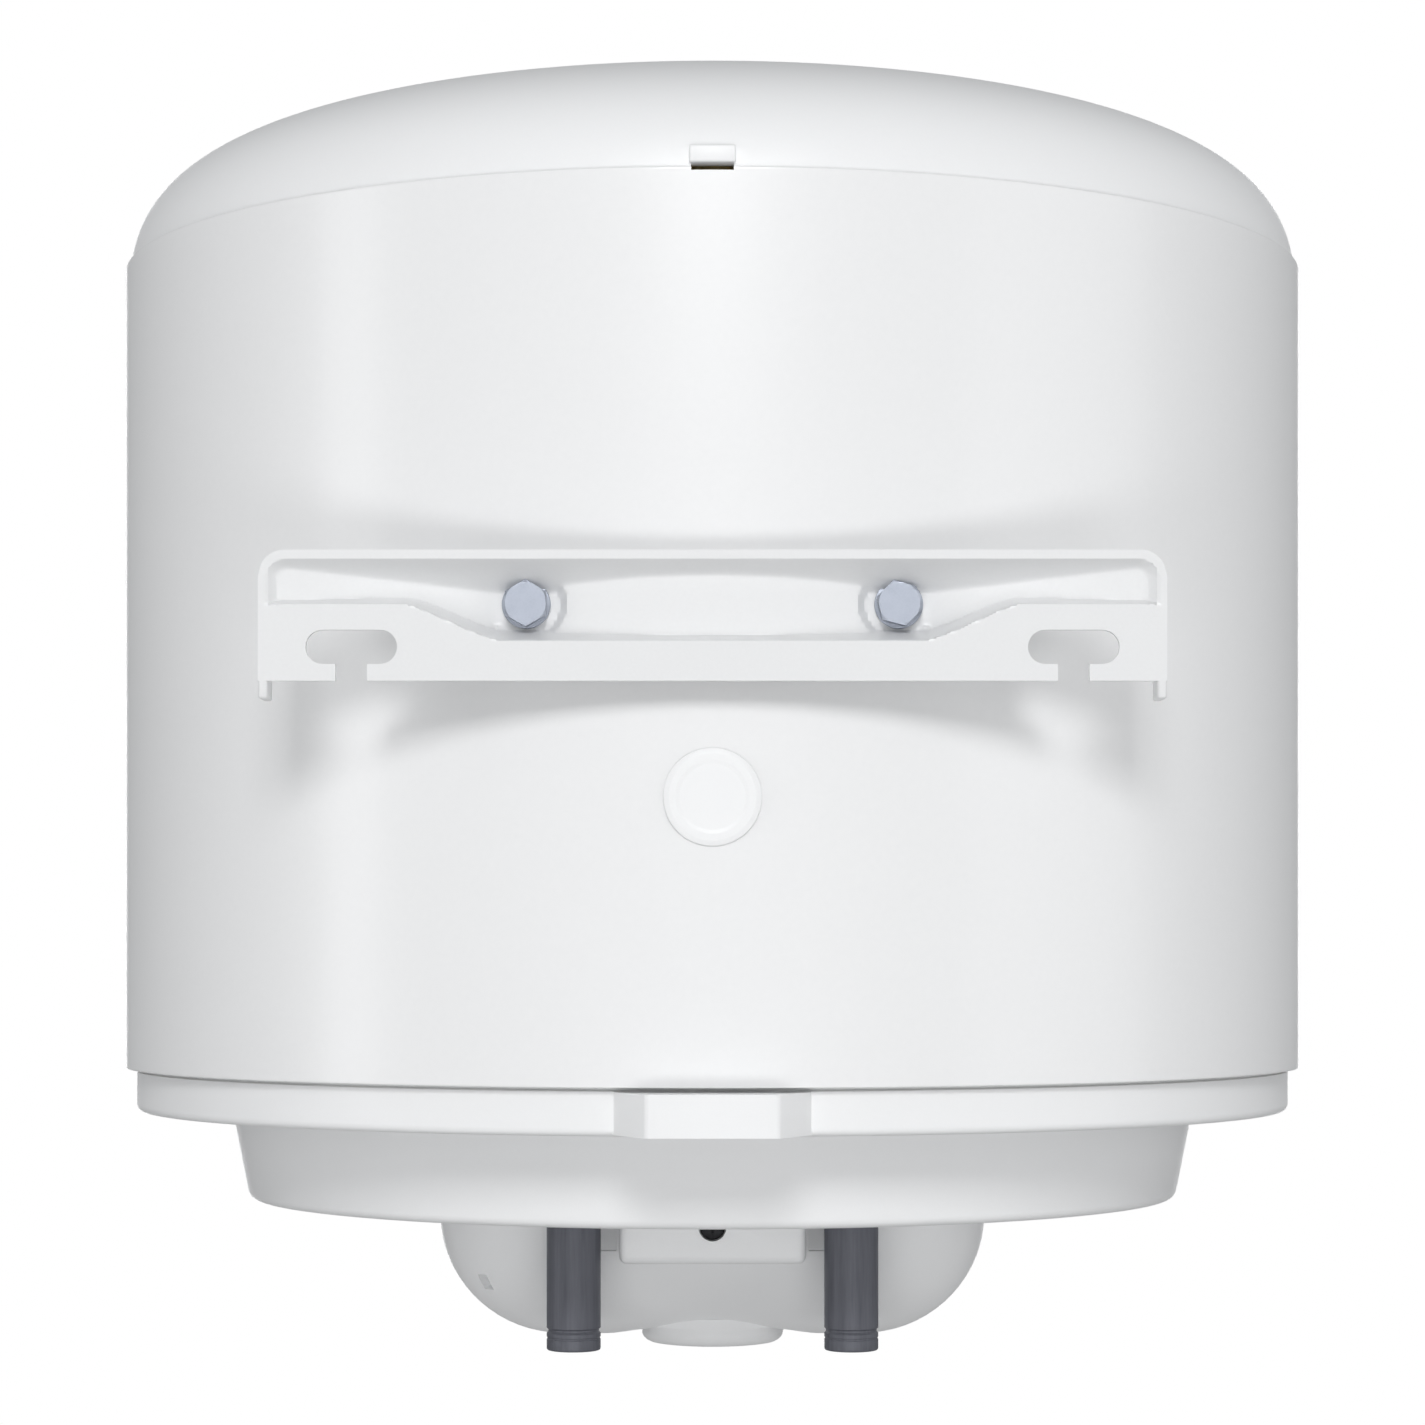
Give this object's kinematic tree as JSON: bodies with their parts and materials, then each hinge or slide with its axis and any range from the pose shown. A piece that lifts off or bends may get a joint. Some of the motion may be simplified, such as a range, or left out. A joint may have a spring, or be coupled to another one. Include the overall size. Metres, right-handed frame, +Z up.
{
  "type": "tank water heater",
  "caption": "Compact round wall-hung electric storage water heater with a slotted wall bracket, two bottom pipe stubs and a bottom thermostat knob.",
  "frame": {"origin": "middle of the wall bracket's lower strip, on the face that lies against the wall", "axes": "+Z up; +Y into the wall, so the heater stands off towards -Y; +X along the wall, on the cold inlet's side"},
  "size_m": [0.44, 0.454, 0.4572],
  "materials": {
    "jacket_paint": "gloss",
    "bracket_paint": "satin",
    "cap_plastic": "satin",
    "pipe_grey": "satin",
    "zinc_plate": "satin",
    "black_steel": "satin",
    "bare_steel": "satin",
    "tank_enamel": "gloss",
    "foam": "matte",
    "black_rubber": "matte",
    "copper_sheath": "satin",
    "magnesium": "matte",
    "black_plastic": "satin",
    "red_plastic": "satin",
    "amber_lens": "gloss",
    "brown_insulation": "satin",
    "blue_insulation": "satin",
    "green_insulation": "satin"
  },
  "bodies": {
    "heater": {"anode_nut": "zinc_plate", "anode_rod": "magnesium", "bottom_cap": "cap_plastic", "bracket_bolt_left": "zinc_plate", "bracket_bolt_right": "zinc_plate", "bracket_washer_left": "zinc_plate", "bracket_washer_right": "zinc_plate", "cable_grommet": "black_rubber", "cold_inlet_diffuser": "cap_plastic", "cold_pipe_seal": "black_rubber", "cold_water_nipple": "pipe_grey", "cover_screw": "black_steel", "earth_screw": "zinc_plate", "earth_wire": "green_insulation", "electrical_cover": "cap_plastic", "element_wire_live": "brown_insulation", "element_wire_neutral": "blue_insulation", "flange_bolt_1": "zinc_plate", "flange_bolt_2": "zinc_plate", "flange_bolt_3": "zinc_plate", "flange_bolt_4": "zinc_plate", "flange_bolt_5": "zinc_plate", "flange_gasket": "black_rubber", "foam_insulation": "foam", "foam_port_plug": "cap_plastic", "heater_flange": "bare_steel", "heating_element": "copper_sheath", "hot_outlet_tube": "bare_steel", "hot_pipe_seal": "black_rubber", "hot_water_nipple": "pipe_grey", "inner_tank": "tank_enamel", "jacket": "jacket_paint", "live_wire": "brown_insulation", "neutral_wire": "blue_insulation", "pilot_lamp_lens": "amber_lens", "reset_spring": "bare_steel", "tank_boss_left": "bare_steel", "tank_boss_right": "bare_steel", "terminal_block": "cap_plastic", "terminal_screw_1": "zinc_plate", "terminal_screw_2": "zinc_plate", "terminal_screw_3": "zinc_plate", "thermostat_body": "black_plastic", "thermostat_pocket": "copper_sheath", "thermostat_probe": "bare_steel", "top_cap": "cap_plastic", "wall_bracket": "bracket_paint"},
    "knob": {"temperature_knob": "cap_plastic", "thermostat_spindle": "bare_steel"},
    "reset": {"reset_button": "red_plastic"}
  },
  "joints": [
    {"name": "knob_turn", "type": "hinge", "parent": "heater", "child": "knob", "pos_m": [0, -0.234, -0.236], "axis": [0, 0, 1], "range_deg": [0, 270]},
    {"name": "reset_press", "type": "slide", "parent": "heater", "child": "reset", "axis": [0, 0, 1], "range_m": [0, 0.0015], "stiffness_N_per_m": 300, "deforming": ["reset_spring"]}
  ]
}
